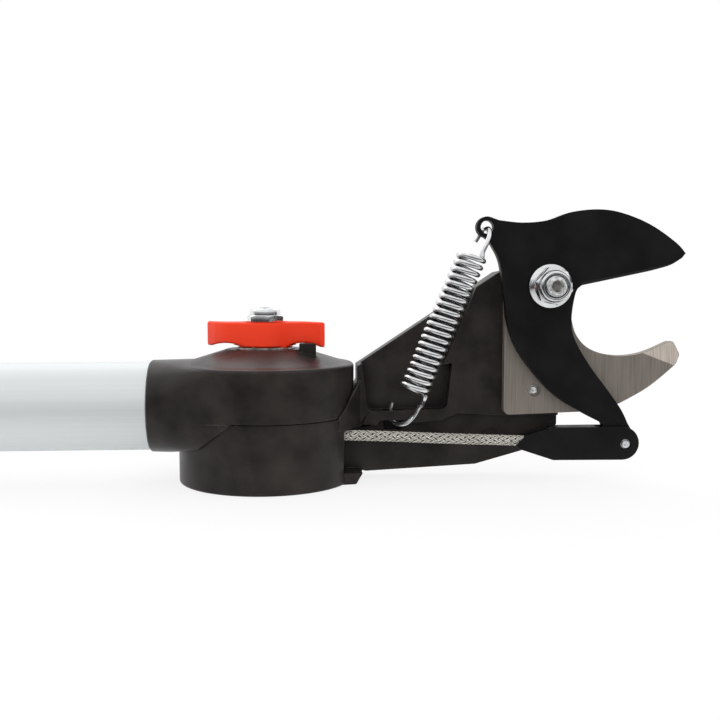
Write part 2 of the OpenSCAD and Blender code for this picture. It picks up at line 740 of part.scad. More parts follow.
module pull_link() {
    color(black_coat) difference() {
        union() {
            plate(link_y0, link_y0 + link_t) link_plan();
            plate(link_y1 - link_t, link_y1) link_plan();
            translate([pin[0] - link_len + 14, link_y0 + link_t/2, pin[1] + link_h/2 + 0.4 - link_t])
                cube([link_len - 25.5, link_y1 - link_y0 - link_t, link_t]);
        }
        pin_y(pin, link_pin_d/2, link_y0 - 1, link_y1 + 1);
        pin_y(cord_pin_at, cord_pin_r, cut_y, link_y1 + 1);
    }
}

module link_pin() {
    color(zinc) pin_y(pin, link_pin_d/2, link_y0 - 0.5, link_y1 + 0.3);
}

// Pin through the cord's end, set in the link's back cheek up to its front one
module cord_pin() {
    color(zinc) pin_y(cord_pin_at, cord_pin_r, link_y0 + link_t, link_y1);
}

module pull_cord() {
    color(braid_grey) difference() {
        tube_along(cord_front, cord_r, cord_sides);
        pin_y(cord_pin_at, cord_pin_r + run_gap, cut_y - 10, cut_y + 10);
    }
}

module cord_tail() {
    color(braid_grey) tube_along(cord_back, cord_r, cord_sides);
}

module cord_terminal() {
    end = cord_back[len(cord_back) - 1];
    color(zinc) difference() {
        translate([end[0] - terminal_len, 0, pole_z]) rotate([0, 90, 0])
            cylinder(r = terminal_r, h = terminal_len);
        translate([end[0] - terminal_len - 1, -terminal_r - 1, pole_z + 1.4])
            cube([terminal_len/2 + 1, 2*terminal_r + 2, terminal_r]);
        translate([end[0] - terminal_len - 1, -terminal_r - 1, pole_z - 1.4 - terminal_r])
            cube([terminal_len/2 + 1, 2*terminal_r + 2, terminal_r]);
        translate([end[0] - terminal_len + 3.4, 0, pole_z - 10]) cylinder(r = terminal_hole_r, h = 20);
    }
}

// Points of the spring's wire: foot hook, coils, head hook
function spring_path() = let (
        axis = unit(coil_head - coil_foot), length = norm(coil_head - coil_foot),
        across = unit(cross([0, 1, 0], axis)), deep = cross(axis, across),
        rings = coil_count*rings_per_coil,
        coils = [for (i = [0:rings]) let (a = 360*i/rings_per_coil)
            coil_foot + axis*length*i/rings + coil_mid_r*(cos(a)*across + sin(a)*deep)])
    concat(curve(foot_hook, 2), coils, curve(head_hook, 2));

// Least gap between two stretches of the wire that aren't neighbours
function least_gap(p, skip) = min([for (i = [0:len(p)-1-skip]) min([
    for (j = [i+skip:len(p)-1]) norm(p[i] - p[j])])]) - wire_d;

module return_spring() {
    path = spring_path();
    echo(least_gap_of_the_spring_mm = least_gap(path, rings_per_coil - 2));
    color(zinc) tube_along(path, wire_d/2, wire_sides);
}

pole_tube();
swivel_cap();
socket_screws();
swivel_bolt();
swivel_bolt_washer();
swivel_nut();
swivel_nut_washer();
lever_washer();
clamp_lever();
sheave_bush();
cord_sheave();
head_frame();
guide_pin();
guide_roller();
hook_plate();
hook_rivet();
pivot_bolt();
pivot_bolt_washer();
pivot_nut();
cutting_blade();
pull_link();
link_pin();
cord_pin();
pull_cord();
cord_tail();
cord_terminal();
return_spring();
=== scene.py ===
"""Dresses the head of a pole tree pruner: broken edges, wound wire, braid, threads, finishes and stage."""

import math

import bmesh
import bpy
from bpy.props import FloatProperty, FloatVectorProperty, IntProperty, PointerProperty
from mathutils import Matrix, Vector


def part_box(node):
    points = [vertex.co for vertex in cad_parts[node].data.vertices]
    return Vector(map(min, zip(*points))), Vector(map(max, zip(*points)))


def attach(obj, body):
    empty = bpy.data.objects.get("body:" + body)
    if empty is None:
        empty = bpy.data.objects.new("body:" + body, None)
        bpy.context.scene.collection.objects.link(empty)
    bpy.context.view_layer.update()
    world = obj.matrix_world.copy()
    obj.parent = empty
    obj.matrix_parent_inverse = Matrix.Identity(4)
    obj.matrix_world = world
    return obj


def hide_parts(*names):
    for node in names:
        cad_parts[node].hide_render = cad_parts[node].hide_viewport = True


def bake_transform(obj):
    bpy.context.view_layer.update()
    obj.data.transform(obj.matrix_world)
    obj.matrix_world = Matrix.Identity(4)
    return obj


bl_info = {
    "name": "Pole Pruner Head",
    "version": (1, 0, 0),
    "blender": (4, 5, 0),
    "location": "View3D > Sidebar > Pruner",
    "description": "Dresses the head of a pole tree pruner and sets its stage",
    "category": "Object",
}

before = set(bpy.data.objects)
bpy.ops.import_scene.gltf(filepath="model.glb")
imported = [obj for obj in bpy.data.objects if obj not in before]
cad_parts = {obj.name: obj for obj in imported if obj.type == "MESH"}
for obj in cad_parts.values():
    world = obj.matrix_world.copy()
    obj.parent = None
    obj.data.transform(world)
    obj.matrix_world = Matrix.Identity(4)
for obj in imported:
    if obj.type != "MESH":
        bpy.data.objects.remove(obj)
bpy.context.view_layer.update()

# Places in the shared frame, in metres
PIVOT = Vector((0.111, 0.0, 0.0773))
LINK_PIN = Vector((0.142, 0.0, 0.015))
RIVET = Vector((0.1063, 0.0, 0.0361))
POLE_Z = 0.0298

# Faces that meet flatter than this count as one flat
FLAT = math.radians(0.3)

# One millimetre in metres
MM = 0.001

# Hexagon, thread and broken edges of the M8 bolts and nuts, in metres
HEX_ACROSS = 0.013
THREAD_R = 0.004
HEX_BREAK = 0.00012

# Colour sockets of a mix node, which shares its socket names between kinds
FIRST_COLOUR, SECOND_COLOUR, MIXED_COLOUR = 6, 7, 2

WHITE = (1, 1, 1, 1)

# Coil axis and listed hook points of the return spring, in millimetres
COIL_FOOT = Vector((56.9, -21.5, 37.1))
COIL_HEAD = Vector((78.9, -21.5, 88.7))
FOOT_HOOK = [
    (50.4, -2.9, 30.6), (50, -2.9, 27), (50.6, -3.2, 23.6), (52.6, -5.2, 22.2),
    (55.6, -7.6, 22.8), (58.4, -8.7, 25.6), (60, -11.3, 28.8), (61.4, -15.4, 32),
]
HEAD_HOOK = [
    (83.1, -20, 87.8), (83.4, -19.2, 90.2), (84.9, -18.6, 93.2), (86.3, -17.2, 96.4), (86.6, -15.2, 99),
    (86, -13, 99.5), (85.4, -10.8, 99.3), (84.2, -9.2, 97.4), (82.4, -9, 94.6),
]

# Routes of the cord's two runs, in millimetres
CORD_FRONT = [
    (0, -13, 19.5), (16, -13, 19.5), (31, -13, 19.2), (48, -13, 18.6), (64, -13, 17.8),
    (80, -13, 17.1), (93, -13, 16.6), (104, -13, 16.2), (114, -13, 16),
]
CORD_BACK = [
    (-0.2, -13, 19.5), (-8, -13, 19.6), (-14, -11.6, 21.8), (-20, -9.2, 24.8), (-26, -6.4, 28),
    (-32, -3.8, 30.2), (-38, -2.2, 30.6), (-46, -1, 30), (-56, 0, 29.2), (-68, 0, 29.8),
    (-90, 0, 29.8), (-120, 0, 29.8), (-150, 0, 29.8), (-178, 0, 29.8),
]


class PrunerSizes(bpy.types.PropertyGroup):
    """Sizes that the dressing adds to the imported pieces"""

    mould_round: FloatProperty(
        name="Mould rounding", description="Rounding of the black housing's edges",
        default=0.0005, unit="LENGTH")
    lever_round: FloatProperty(
        name="Lever rounding", description="Rounding of the clamp lever's edges",
        default=0.0009, unit="LENGTH")
    plate_break: FloatProperty(
        name="Plate edge", description="Broken edge of the blade, the hook plate and the link",
        default=0.00025, unit="LENGTH")
    wire: FloatProperty(
        name="Spring wire", description="Diameter of the return spring's wire",
        default=0.0020, unit="LENGTH")
    coil: FloatProperty(
        name="Coil", description="Outer diameter of the return spring's coils",
        default=0.0118, unit="LENGTH")
    coils: IntProperty(
        name="Coils", description="Number of coils in the return spring", default=20)
    cord: FloatProperty(
        name="Cord", description="Outer diameter of the braided cord",
        default=0.0043, unit="LENGTH")
    carriers: IntProperty(
        name="Braid carriers", description="Strands that run each way round the cord", default=6)
    braid_pitch: FloatProperty(
        name="Braid pitch", description="Length of cord in which a strand goes round once",
        default=0.0200, unit="LENGTH")
    thread_pitch: FloatProperty(
        name="Thread pitch", description="Pitch of the two bolts' threads",
        default=0.00125, unit="LENGTH")


class PrunerColours(bpy.types.PropertyGroup):
    """Colours of the finishes"""

    housing: FloatVectorProperty(
        name="Housing", description="Black moulded plastic of the drum and the arm",
        default=(0.0245, 0.0212, 0.0192), subtype="COLOR", size=3)
    coat: FloatVectorProperty(
        name="Blade coat", description="Black coat of the blade and the link",
        default=(0.0074, 0.0072, 0.0072), subtype="COLOR", size=3)
    lever: FloatVectorProperty(
        name="Lever", description="Orange moulded plastic of the clamp lever",
        default=(0.98, 0.052, 0.014), subtype="COLOR", size=3)
    tube: FloatVectorProperty(
        name="Pole tube", description="Satin aluminium of the pole",
        default=(0.712, 0.740, 0.745), subtype="COLOR", size=3)
    zinc: FloatVectorProperty(
        name="Zinc", description="Bright zinc on the spring and the fasteners",
        default=(0.78, 0.79, 0.80), subtype="COLOR", size=3)
    plate: FloatVectorProperty(
        name="Hook plate", description="Ground steel of the hook plate",
        default=(0.262, 0.231, 0.202), subtype="COLOR", size=3)
    braid: FloatVectorProperty(
        name="Braid", description="Grey yarn of the cord",
        default=(0.80, 0.75, 0.67), subtype="COLOR", size=3)


class PrunerStage(bpy.types.PropertyGroup):
    """Light and camera"""

    sky: FloatProperty(
        name="Room light", description="Strength of the even light from all round", default=1.04)
    key: FloatProperty(
        name="Key light", description="Power of the soft light behind and above", default=1.5, unit="POWER")
    lens: FloatProperty(
        name="Lens", description="Focal length of the camera on a 36 mm frame", default=47.5)


def clear_selection():
    """Leaves edit mode and deselects everything"""
    if bpy.context.object and bpy.context.object.mode != "OBJECT":
        bpy.ops.object.mode_set(mode="OBJECT")
    bpy.ops.object.select_all(action="DESELECT")


def activate(obj):
    """Makes obj the only selected object, and the active one"""
    clear_selection()
    obj.select_set(True)
    bpy.context.view_layer.objects.active = obj


def settle(obj, matrix=None):
    """Puts obj in place and applies the place to its mesh"""
    activate(obj)
    if matrix is not None:
        obj.matrix_world = matrix @ obj.matrix_world
    bpy.ops.object.transform_apply(location=True, rotation=True, scale=True)
    return obj


def edit_all(obj):
    """Enters edit mode with the whole mesh selected"""
    activate(obj)
    bpy.ops.object.mode_set(mode="EDIT")
    bpy.ops.mesh.select_all(action="SELECT")


def pick_faces(obj, test):
    """In edit mode, selects only the faces whose middle and normal pass the test"""
    bpy.ops.mesh.select_mode(type="FACE")
    bpy.ops.mesh.select_all(action="DESELECT")
    mesh = bmesh.from_edit_mesh(obj.data)
    chosen = [face for face in mesh.faces if test(face.calc_center_median(), face.normal)]
    if not chosen:
        raise RuntimeError("no face to pick on " + obj.name)
    for face in chosen:
        face.select_set(True)
    bmesh.update_edit_mesh(obj.data)


def apply_modifier(obj, kind, **values):
    """Adds a modifier with these values and applies it"""
    activate(obj)
    modifier = obj.modifiers.new(kind.title(), kind)
    for name, value in values.items():
        setattr(modifier, name, value)
    bpy.ops.object.modifier_apply(modifier=modifier.name)


def unfold(mesh):
    """Turns the long edges of slivers that the rounding has folded over on the flats"""
    folded, most_rounds = math.radians(170), 12
    for _ in range(most_rounds):
        mesh.normal_update()
        flipped = 0
        for edge in list(mesh.edges):
            if not edge.is_valid or edge.calc_face_angle(0.0) < folded:
                continue
            sliver = min(edge.link_faces, key=lambda face: face.calc_area())
            longest = max(sliver.edges, key=lambda one: one.calc_length())
            if edge == longest and all(len(face.verts) == 3 for face in edge.link_faces):
                flipped += bmesh.utils.edge_rotate(edge) is not None
        if not flipped:
            break


def break_edges(obj, width, segments=2, angle=38, spare=None):
    """Rounds every edge that is sharper than the angle, apart from those that spare picks out"""
    edit_all(obj)
    bpy.ops.mesh.quads_convert_to_tris(ngon_method="BEAUTY")
    bpy.ops.mesh.beautify_fill(angle_limit=FLAT)
    mesh = bmesh.from_edit_mesh(obj.data)
    weight = mesh.edges.layers.float.new("bevel_weight_edge")
    for edge in mesh.edges:
        if edge.calc_face_angle(0.0) > math.radians(angle) and not (spare and spare(edge)):
            edge[weight] = 1.0
    bmesh.update_edit_mesh(obj.data)
    bpy.ops.object.mode_set(mode="OBJECT")
    apply_modifier(obj, "BEVEL", width=width, segments=segments, limit_method="WEIGHT",
                   use_clamp_overlap=False, miter_outer="MITER_ARC")
    edit_all(obj)
    mesh = bmesh.from_edit_mesh(obj.data)
    unfold(mesh)
    bmesh.update_edit_mesh(obj.data)
    bpy.ops.object.mode_set(mode="OBJECT")


def smooth(obj, angle=32):
    """Shades obj smooth where its faces meet flatter than the angle"""
    activate(obj)
    bpy.ops.object.shade_smooth_by_angle(angle=math.radians(angle))
    return obj


def even_flats(obj):
    """Lets broad flat faces keep their own normals next to rounded edges"""
    apply_modifier(obj, "WEIGHTED_NORMAL", weight=80, keep_sharp=True)
    return obj


def copy_of(node, name):
    """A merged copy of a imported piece's mesh, to be dressed in its place"""
    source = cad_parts[node]
    obj = bpy.data.objects.new(name, source.data.copy())
    bpy.context.collection.objects.link(obj)
    obj.matrix_world = source.matrix_world
    settle(obj)
    if obj.data.has_custom_normals:
        bpy.ops.mesh.customdata_custom_splitnormals_clear()
    edit_all(obj)
    bpy.ops.mesh.remove_doubles(threshold=0.000004)
    bpy.ops.object.mode_set(mode="OBJECT")
    obj.data.materials.clear()
    return obj


def made_of(name, points, edges=(), faces=()):
    """An object whose mesh has these points, edges and faces"""
    mesh = bpy.data.meshes.new(name)
    mesh.from_pydata(points, edges, faces)
    obj = bpy.data.objects.new(name, mesh)
    bpy.context.collection.objects.link(obj)
    return obj


def chain(points):
    """The edges that join points in their order"""
    return [(i, i + 1) for i in range(len(points) - 1)]


def turned(name, profile, matrix=None, steps=72):
    """A round piece: a profile of radius and height pairs, spun about Z and put in place"""
    obj = made_of(name, [(r, 0.0, z) for r, z in profile], chain(profile))
    edit_all(obj)
    bpy.ops.mesh.spin(steps=steps, angle=2*math.pi, center=(0, 0, 0), axis=(0, 0, 1))
    bpy.ops.mesh.select_all(action="SELECT")
    bpy.ops.mesh.remove_doubles(threshold=0.000002)
    bpy.ops.mesh.normals_make_consistent(inside=False)
    bpy.ops.object.mode_set(mode="OBJECT")
    return settle(obj, matrix)


def joined(name, *objs):
    """One object of several, with their materials kept"""
    activate(objs[0])
    for obj in objs:
        obj.select_set(True)
    bpy.ops.object.join()
    result = bpy.context.object
    result.name = name
    result.data.name = name
    return result


def painted(obj, finish):
    """Gives obj one finish all over"""
    obj.data.materials.clear()
    obj.data.materials.append(finish)
    return obj


def carry(obj, body, slot, *nodes):
    """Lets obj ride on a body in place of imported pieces"""
    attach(obj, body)
    if nodes:
        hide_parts(*nodes)
    return obj


def facing(at, y, away=False):
    """Place of a round piece whose axis points from y towards the viewer, or away from them"""
    quarter = -math.pi/2 if away else math.pi/2
    return Matrix.Translation((at.x, y, at.z)) @ Matrix.Rotation(quarter, 4, "X")


def curve_through(points, steps):
    """A smooth path through points, with steps parts between each two"""
    pts = [Vector(p) for p in points]
    last = len(pts) - 1
    path = []
    for i in range(last):
        a, b, c, d = pts[max(i - 1, 0)], pts[i], pts[i + 1], pts[min(i + 2, last)]
        for k in range(steps):
            t = k/steps
            path.append(b + 0.5*t*((c - a) + t*((2*a - 5*b + 4*c - d) + t*(3*b - a - 3*c + d))))
    path.append(pts[last])
    return path


def wires(name, paths, radius, detail):
    """A mesh of round wires along paths given in metres"""
    data = bpy.data.curves.new(name, "CURVE")
    data.dimensions = "3D"
    data.bevel_depth = radius
    data.bevel_resolution = detail
    data.use_fill_caps = True
    for path in paths:
        spline = data.splines.new("POLY")
        spline.points.add(len(path) - 1)
        for point, place in zip(spline.points, path):
            point.co = (place.x, place.y, place.z, 1.0)
    obj = bpy.data.objects.new(name, data)
    bpy.context.collection.objects.link(obj)
    activate(obj)
    bpy.ops.object.convert(target="MESH")
    obj = bpy.context.object
    obj.name = name
    bpy.ops.object.shade_smooth()
    return obj


class Tree:
    """A node tree under construction"""

    def __init__(self, tree):
        self.tree = tree
        self.tree.nodes.clear()

    def put(self, node, **values):
        """Sets a node's inputs, or its own settings, by name"""
        for name, value in values.items():
            label = name.replace("_", " ").title().replace("Ior", "IOR")
            if label in node.inputs:
                node.inputs[label].default_value = value
            else:
                setattr(node, name, value)
        return node

    def node(self, kind, **values):
        """Adds a node with these values"""
        return self.put(self.tree.nodes.new(kind), **values)

    def link(self, output, node, socket):
        """Links an output to a node's input"""
        self.tree.links.new(output, node.inputs[socket])

    def number(self, operation, *parts):
        """A number worked out from outputs and plain values"""
        made = self.node("ShaderNodeMath", operation=operation)
        for socket, part in enumerate(parts):
            if isinstance(part, float):
                made.inputs[socket].default_value = part
            else:
                self.link(part, made, socket)
        return made.outputs["Value"]

    def ranged(self, value, start, end, low, high):
        """A number that runs from low to high while the value runs from start to end"""
        made = self.node("ShaderNodeMapRange", from_min=start, from_max=end, to_min=low, to_max=high)
        self.link(value, made, "Value")
        return made.outputs["Result"]

    def either(self, share, first, second):
        """The first shader, or the second one by its share"""
        made = self.node("ShaderNodeMixShader")
        for socket, part in enumerate((share, first, second)):
            self.link(part, made, socket)
        return made.outputs["Shader"]

    def axes(self, place):
        """The three axes of a place, as outputs by name"""
        split = self.node("ShaderNodeSeparateXYZ")
        self.link(place, split, "Vector")
        return split.outputs


class Finish(Tree):
    """The node tree of a material round one shader"""

    def __init__(self, name):
        self.material = bpy.data.materials.new(name)
        self.material.use_nodes = True
        super().__init__(self.material.node_tree)
        self.shader = self.node("ShaderNodeBsdfPrincipled")
        self.link(self.shader.outputs["BSDF"], self.node("ShaderNodeOutputMaterial"), "Surface")
        self.place = self.node("ShaderNodeTexCoord").outputs["Object"]

    def grain(self, scale, detail=3.0, stretch=(1, 1, 1), turn=(0, 0, 0)):
        """Noise on object coordinates, stretched along the axes"""
        mapping = self.node("ShaderNodeMapping", scale=stretch, rotation=turn)
        self.link(self.place, mapping, "Vector")
        noise = self.node("ShaderNodeTexNoise", scale=scale, detail=detail)
        self.link(mapping.outputs["Vector"], noise, "Vector")
        return noise.outputs["Fac"]

    def tones(self, noise, dark, light, low=0.35, high=0.65):
        """Colour between two tones by a noise"""
        ramp = self.node("ShaderNodeValToRGB")
        for stop, place, colour in zip(ramp.color_ramp.elements, (low, high), (dark, light)):
            stop.position = place
            stop.color = (*colour, 1)
        self.link(noise, ramp, "Fac")
        return ramp.outputs["Color"]

    def spread(self, noise, low, high):
        """A number between low and high by a noise"""
        return self.ranged(noise, 0.3, 0.7, low, high)

    def paint(self, colour):
        """Lets a colour reach the shader"""
        self.link(colour, self.shader, "Base Color")

    def rough(self, noise, low, high):
        """Lets the roughness vary between low and high by a noise"""
        self.link(self.spread(noise, low, high), self.shader, "Roughness")

    def relief(self, noise, strength, distance):
        """Lets a noise raise the surface, on top of the relief that it has so far"""
        bump = self.node("ShaderNodeBump", strength=strength, distance=distance)
        self.link(noise, bump, "Height")
        for before in self.shader.inputs["Normal"].links:
            self.link(before.from_socket, bump, "Normal")
        self.link(bump.outputs["Normal"], self.shader, "Normal")

    def mixed(self, colour, blend, share=1.0):
        """A node that mixes something into a colour, with its second colour left open"""
        mix = self.node("ShaderNodeMix", data_type="RGBA", blend_type=blend, factor=share)
        self.link(colour, mix, FIRST_COLOUR)
        return mix

    def edge_wear_and_highlight(self, colour, wear_and_highlight_tone, radius, amount):
        """The colour with a lighter tone mixed in along rounded edges, partly wear and partly painted
        highlight
        """
        rounded = self.node("ShaderNodeBevel", samples=6, radius=radius)
        flat = self.node("ShaderNodeNewGeometry")
        meet = self.node("ShaderNodeVectorMath", operation="DOT_PRODUCT")
        self.link(rounded.outputs["Normal"], meet, 0)
        self.link(flat.outputs["Normal"], meet, 1)
        edge = self.ranged(meet.outputs["Value"], 0.97, 0.80, 0.0, amount)
        patchy = self.number("MULTIPLY", edge, self.spread(self.grain(160.0, 4.0), 0.1, 1.0))
        mix = self.mixed(colour, "MIX")
        self.link(patchy, mix, "Factor")
        mix.inputs[SECOND_COLOUR].default_value = (*wear_and_highlight_tone, 1)
        return mix.outputs[MIXED_COLOUR]

    def painted_gap_shade(self, colour, reach, start=0.35, end=0.85, deepest=0.06):
        """The colour with painted shade: darker in narrow gaps of the piece, where an ambient occlusion
        node finds them
        """
        gaps = self.node("ShaderNodeAmbientOcclusion", samples=8, only_local=True, distance=reach)
        mix = self.mixed(colour, "MULTIPLY")
        self.link(self.ranged(gaps.outputs["AO"], start, end, deepest, 1.0), mix, SECOND_COLOUR)
        return mix.outputs[MIXED_COLOUR]


def toned(colour, factor):
    """A colour made lighter or darker"""
    return tuple(min(1.0, channel*factor) for channel in colour)


def moulded_black():
    """Satin black plastic with a fine moulded grain, slightly rubbed edges that are also lightened as
    painted highlight, and painted shade in its recesses
    """
    colour = bpy.context.scene.pruner_colours.housing
    made = Finish("moulded_black")
    cloud = made.tones(made.grain(80.0, 6.0), toned(colour, 0.50), toned(colour, 1.55), 0.25, 0.75)
    # Edges lightened, partly as rubbing and partly as painted highlight, then painted shade in the recesses
    rubbed_and_highlit = made.edge_wear_and_highlight(cloud, toned(colour, 3.4), radius=0.0007, amount=0.6)
    made.paint(made.painted_gap_shade(rubbed_and_highlit, reach=0.006, start=0.3, end=0.8, deepest=0.3))
    made.rough(made.grain(60.0, 7.0), 0.27, 0.40)
    made.relief(made.grain(38.0, 2.0), 0.03, 0.0004)
    made.relief(made.grain(3200.0, 2.0), 0.12, 0.00004)
    made.put(made.shader, specular_ior_level=0.16)
    return made.material


def coated_black():
    """Thin black coat on steel, with a faint peel and thin bright edges, partly wear and partly painted
    highlight
    """
    colour = bpy.context.scene.pruner_colours.coat
    made = Finish("coated_black")
    tone = made.tones(made.grain(90.0, 5.0), toned(colour, 0.8), toned(colour, 1.3))
    made.paint(made.edge_wear_and_highlight(tone, (0.07, 0.067, 0.063), radius=0.00045, amount=0.5))
    made.rough(made.grain(240.0, 5.0), 0.40, 0.52)
    made.relief(made.grain(900.0, 2.0), 0.08, 0.00006)
    made.relief(made.grain(5200.0, 1.0), 0.08, 0.00003)
    made.put(made.shader, specular_ior_level=0.12)
    return made.material


def ground_steel(name="ground_steel", lift=1.0, lean=3, metal=0.5):
    """Warm grey steel, ground from edge to edge in fine strokes, with a painted highlight along its rounded
    edges
    """
    colour = toned(bpy.context.scene.pruner_colours.plate, lift)
    made = Finish(name)
    strokes = made.grain(1.0, 5.0, (2400.0, 300.0, 60.0), (0, math.radians(lean), 0))
    tone = made.tones(strokes, toned(colour, 0.86), toned(colour, 1.15))
    made.paint(made.edge_wear_and_highlight(tone, toned(colour, 2.4), radius=0.0005, amount=0.9))
    made.rough(strokes, 0.40, 0.54)
    made.relief(strokes, 0.14, 0.00003)
    made.put(made.shader, metallic=metal, anisotropic=0.2)
    return made.material


def ground_tip():
    """The flat ground on the hook's tip, in a lighter tone than the plate"""
    return ground_steel("ground_tip", lift=2.0, lean=68, metal=0.3)


def bright_zinc(name="bright_zinc", shade_reach=0.0025, metal=1.0):
    """Bright plated steel with a faint cloud in its polish and painted shade in its gaps"""
    colour = bpy.context.scene.pruner_colours.zinc
    made = Finish(name)
    cloud = made.tones(made.grain(260.0, 4.0), toned(colour, 0.86), toned(colour, 1.06))
    made.paint(made.painted_gap_shade(cloud, shade_reach))
    made.rough(made.grain(700.0, 4.0), 0.10, 0.22)
    made.relief(made.grain(1800.0, 2.0), 0.05, 0.00003)
    made.put(made.shader, metallic=metal)
    return made.material


def spring_zinc():
    """The spring's plating, with painted shade on the far side of its coils"""
    return bright_zinc("spring_zinc", shade_reach=0.009, metal=0.95)


def rough_zinc():
    """Cut and hammered ends of bolts, pins and rivets"""
    colour = bpy.context.scene.pruner_colours.zinc
    made = Finish("rough_zinc")
    made.paint(made.tones(made.grain(700.0, 4.0), toned(colour, 0.50), toned(colour, 1.1), 0.32, 0.62))
    made.rough(made.grain(1200.0, 4.0), 0.28, 0.50)
    made.relief(made.grain(1500.0, 3.0), 0.5, 0.00012)
    made.put(made.shader, metallic=0.7)
    return made.material


def painted_shade_zinc():
    """Zinc painted darker: a painted dark reflection on the washer under the lever, and painted shade in
    the dished ends of the bolts
    """
    made = Finish("painted_shade_zinc")
    made.paint(made.tones(made.grain(400.0, 4.0), (0.13, 0.125, 0.115), (0.40, 0.39, 0.37)))
    made.rough(made.grain(700.0, 4.0), 0.12, 0.30)
    made.relief(made.grain(900.0, 2.0), 0.15, 0.00006)
    made.put(made.shader, metallic=0.6)
    return made.material


def satin_tube():
    """Drawn aluminium with fine lines along the pole"""
    colour = bpy.context.scene.pruner_colours.tube
    made = Finish("satin_tube")
    lines = made.grain(1.0, 5.0, (5.0, 900.0, 900.0))
    made.paint(made.tones(lines, toned(colour, 0.98), toned(colour, 1.02)))
    made.rough(lines, 0.46, 0.51)
    made.relief(lines, 0.05, 0.00003)
    made.relief(made.grain(2600.0, 2.0), 0.06, 0.00002)
    made.put(made.shader, metallic=0.42, specular_ior_level=0.10)
    return made.material


def moulded_orange():
    """Orange-red plastic with a soft gloss and paler edges, partly wear and partly painted highlight"""
    colour = bpy.context.scene.pruner_colours.lever
    made = Finish("moulded_orange")
    tone = made.tones(made.grain(70.0, 4.0), toned(colour, 0.97), toned(colour, 1.05))
    made.paint(made.edge_wear_and_highlight(tone, (0.90, 0.10, 0.03), radius=0.0008, amount=0.35))
    made.rough(made.grain(180.0, 5.0), 0.34, 0.46)
    made.relief(made.grain(2600.0, 2.0), 0.07, 0.00004)
    made.put(made.shader, specular_ior_level=0.18, subsurface_weight=0.04, subsurface_scale=0.002)
    return made.material


def cord_yarn():
    """Grey-beige yarn with fibres of uneven tone, and painted shade where the yarns lie close"""
    colour = bpy.context.scene.pruner_colours.braid
    made = Finish("cord_yarn")
    fibres = made.grain(1500.0, 4.0, (1.0, 1.0, 1.6))
    tone = made.tones(fibres, toned(colour, 0.50), toned(colour, 1.30), 0.32, 0.66)
    made.paint(made.painted_gap_shade(tone, reach=0.0012, start=0.50, end=0.95, deepest=0.05))
    made.rough(fibres, 0.62, 0.85)
    made.relief(made.grain(6000.0, 2.0), 0.35, 0.00006)
    made.put(made.shader, sheen_weight=0.15)
    return made.material


def cord_core_in_painted_shade():
    """Inner yarn painted nearly black, as painted shade where it shows between the strands"""
    made = Finish("cord_core_in_painted_shade")
    made.paint(made.tones(made.grain(1800.0, 3.0), (0.035, 0.032, 0.028), (0.06, 0.055, 0.048)))
    made.rough(made.grain(900.0, 3.0), 0.7, 0.9)
    made.relief(made.grain(5000.0, 2.0), 0.3, 0.00005)
    return made.material


def natural_nylon():
    """Off-white nylon of the sheave, the roller and the nuts' inserts"""
    made = Finish("natural_nylon")
    made.paint(made.tones(made.grain(120.0, 4.0), (0.60, 0.585, 0.53), (0.72, 0.70, 0.65)))
    made.rough(made.grain(300.0, 4.0), 0.36, 0.52)
    made.relief(made.grain(3000.0, 2.0), 0.06, 0.00004)
    made.put(made.shader, subsurface_weight=0.08, subsurface_scale=0.001)
    return made.material


FINISH_MAKERS = {maker.__name__: maker for maker in (
    moulded_black, coated_black, ground_steel, ground_tip, bright_zinc, spring_zinc, rough_zinc, painted_shade_zinc,
    satin_tube, moulded_orange, cord_yarn, cord_core_in_painted_shade, natural_nylon)}
FINISHES = {}


def finish(name):
    """The finish of that name, made once"""
    if name not in FINISHES:
        FINISHES[name] = FINISH_MAKERS[name]()
    return FINISHES[name]


class PRUNER_OT_pole(bpy.types.Operator):
    """Turns the pole tube with softened mouths"""

    bl_idname = "pruner.pole"
    bl_label = "Pole tube"

    def execute(self, context):
        low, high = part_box("pole_tube")
        length = high[0] - low[0]
        outer, bore, neck, neck_len, soft = 0.0175, 0.016, 0.0170, 0.0082, 0.0004
        neck_from = length - neck_len
        tube = turned("pole_tube_dressed", [
            (bore + soft, 0.0), (outer - soft, 0.0), (outer - 0.3*soft, 0.3*soft), (outer, soft),
            (outer, neck_from - 0.0001), (neck, neck_from), (neck, length), (bore, length),
            (bore, soft), (bore + 0.3*soft, 0.3*soft), (bore + soft, 0.0)],
            Matrix.Translation((low[0], 0.0, POLE_Z)) @ Matrix.Rotation(math.pi/2, 4, "Y"), steps=128)
        carry(painted(smooth(tube), finish("satin_tube")), "pole", "aluminium", "pole_tube")
        return {"FINISHED"}


def ledge_edge(edge):
    """True on the thin ledge beside the seam's corner, where cap and fairing are almost flush"""
    seam, corner, side = 0.0267, -0.0118, 0.0348
    return all(abs(end.co.z - seam) < 0.00005 and end.co.x < corner
               and math.hypot(end.co.x, end.co.y) > side for end in edge.verts)


def keep_within(obj, node):
    """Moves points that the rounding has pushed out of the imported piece's box back onto it"""
    low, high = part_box(node)
    for corner in obj.data.vertices:
        corner.co = [min(max(at, least), most) for at, least, most in zip(corner.co, low, high)]


class PRUNER_OT_housing(bpy.types.Operator):
    """Rounds the edges of the swivel cap and of the cup with its arm"""

    bl_idname = "pruner.housing"
    bl_label = "Drum and arm"

    def execute(self, context):
        for node, body in (("swivel_cap", "pole"), ("head_frame", "head")):
            piece = copy_of(node, node + "_dressed")
            break_edges(piece, context.scene.pruner_sizes.mould_round, spare=ledge_edge)
            keep_within(piece, node)
            even_flats(smooth(piece, 36))
            carry(painted(piece, finish("moulded_black")), body, "black_plastic", node)
        return {"FINISHED"}


